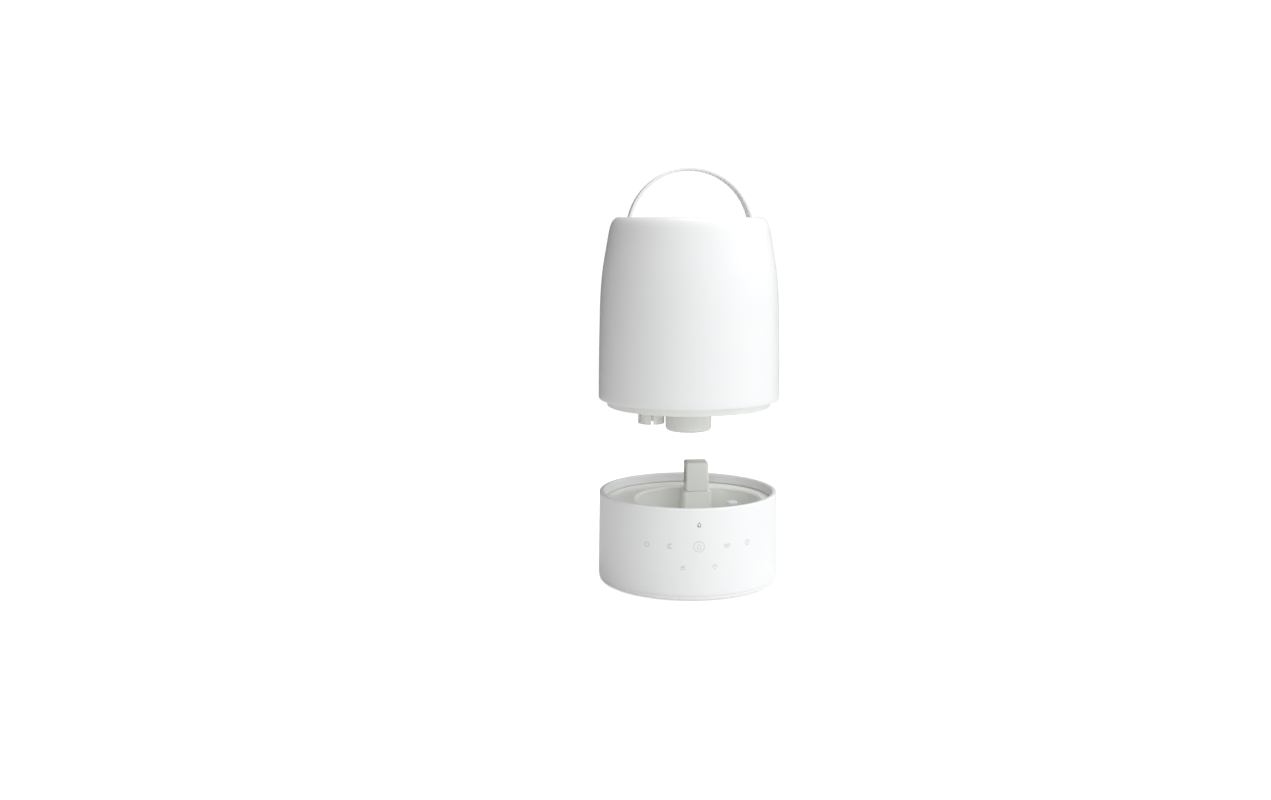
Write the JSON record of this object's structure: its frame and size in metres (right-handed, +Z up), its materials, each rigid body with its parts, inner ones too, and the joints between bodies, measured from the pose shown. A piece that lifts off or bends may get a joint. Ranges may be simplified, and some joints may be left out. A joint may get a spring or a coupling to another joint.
{
  "type": "cool mist humidifier",
  "caption": "Round ultrasonic humidifier whose water tank, with a swinging bail handle and a screw-cap valve, lifts off a basin base with an air tower, float and mist fan.",
  "frame": {"origin": "centre of the resting face, on the base's axis, at the level of the undersides of the rubber feet", "axes": "+Z up along the axis of the base and tank; -Y towards the touch panel at the front, with the power jack at the back on +Y; +X to the right as seen from the front, which is the line the bail's pins lie on"},
  "size_m": [0.166, 0.166, 0.3767],
  "materials": {
    "white_shell": "satin moulded",
    "white_inner": "fine matt moulded",
    "grey_plastic": "matt moulded",
    "black_plastic": "matt moulded",
    "seal_rubber": "translucent white silicone",
    "foot_rubber": "matt",
    "steel": "bright zinc",
    "aluminium": "plain",
    "board": "green solder mask",
    "piezo": "glazed ceramic",
    "magnet": "sintered ferrite",
    "wire": "insulated lead"
  },
  "bodies": {
    "base": {"base_shell": "white_shell", "deck": "white_inner", "basin": "white_inner", "transducer_well": "white_inner", "tower_stub": "white_inner", "valve_pin": "white_inner", "float_post": "white_inner", "bottom_cover": "white_inner", "rubber_foot_1": "foot_rubber", "rubber_foot_2": "foot_rubber", "rubber_foot_3": "foot_rubber", "rubber_foot_4": "foot_rubber", "cover_screw_1": "steel", "cover_screw_2": "steel", "cover_screw_3": "steel", "cover_screw_4": "steel", "tower_cover": "white_inner", "transducer_disc": "piezo", "transducer_seal": "seal_rubber", "transducer_retainer": "aluminium", "transducer_screw_1": "steel", "transducer_screw_2": "steel", "fan_housing": "black_plastic", "fan_motor": "steel", "air_duct": "grey_plastic", "driver_board": "board", "heat_sink": "aluminium", "power_board": "board", "touch_board": "board", "power_jack": "black_plastic", "float_retainer": "white_inner", "level_switch": "black_plastic", "transducer_lead": "wire", "fan_lead": "wire", "jack_lead": "wire", "touch_lead": "wire"},
    "fan": {"fan_rotor": "black_plastic"},
    "float": {"float": "white_inner", "float_magnet": "magnet"},
    "tank": {"tank_shell": "white_shell", "tank_shoulder": "white_shell", "recess_floor": "white_shell", "nozzle_collar": "white_shell", "tank_floor": "white_inner", "plug_ring": "white_inner", "seat_flange": "white_inner", "filler_neck": "white_inner", "mist_duct": "white_inner", "duct_seal": "seal_rubber", "mist_skirt": "white_inner", "handle_pin_left": "steel", "handle_pin_right": "steel"},
    "handle": {"handle": "white_shell"},
    "nozzle": {"mist_nozzle": "white_shell"},
    "gasket": {"cap_gasket": "seal_rubber"},
    "cap": {"tank_cap": "white_inner"},
    "valve": {"valve_plunger": "white_inner", "valve_seal": "seal_rubber", "valve_spring": "steel"}
  },
  "joints": [
    {"name": "tank_lift", "type": "slide", "parent": "base", "child": "tank", "axis": [0, 0, 1], "range_m": [-0.0854, 0.03]},
    {"name": "handle_fold", "type": "hinge", "parent": "tank", "child": "handle", "pos_m": [0, 0, 0.3197], "axis": [1, 0, 0], "range_deg": [-90, 90]},
    {"name": "nozzle_turn", "type": "hinge", "parent": "tank", "child": "nozzle", "pos_m": [0, 0, 0.32], "axis": [0, 0, 1], "continuous": true},
    {"name": "cap_travel", "type": "slide", "parent": "tank", "child": "gasket", "axis": [0, 0, -1], "range_m": [0, 0.0061]},
    {"name": "cap_turn", "type": "hinge", "parent": "gasket", "child": "cap", "pos_m": [0, 0, 0.15], "axis": [0, 0, -1], "range_deg": [0, 540]},
    {"name": "valve_press", "type": "slide", "parent": "cap", "child": "valve", "axis": [0, 0, 1], "range_m": [0, 0.004], "stiffness_N_per_m": 120, "springref_m": -0.004, "deforming": ["valve_spring"]},
    {"name": "float_rise", "type": "slide", "parent": "base", "child": "float", "axis": [0, 0, 1], "range_m": [0, 0.006]},
    {"name": "fan_spin", "type": "hinge", "parent": "base", "child": "fan", "pos_m": [0.013, 0.01, 0.015], "axis": [0, 0, 1], "continuous": true}
  ],
  "couplings": [
    {"joint": "cap_travel", "follows": "cap_turn", "m_per_rad": 0.00063662}
  ]
}
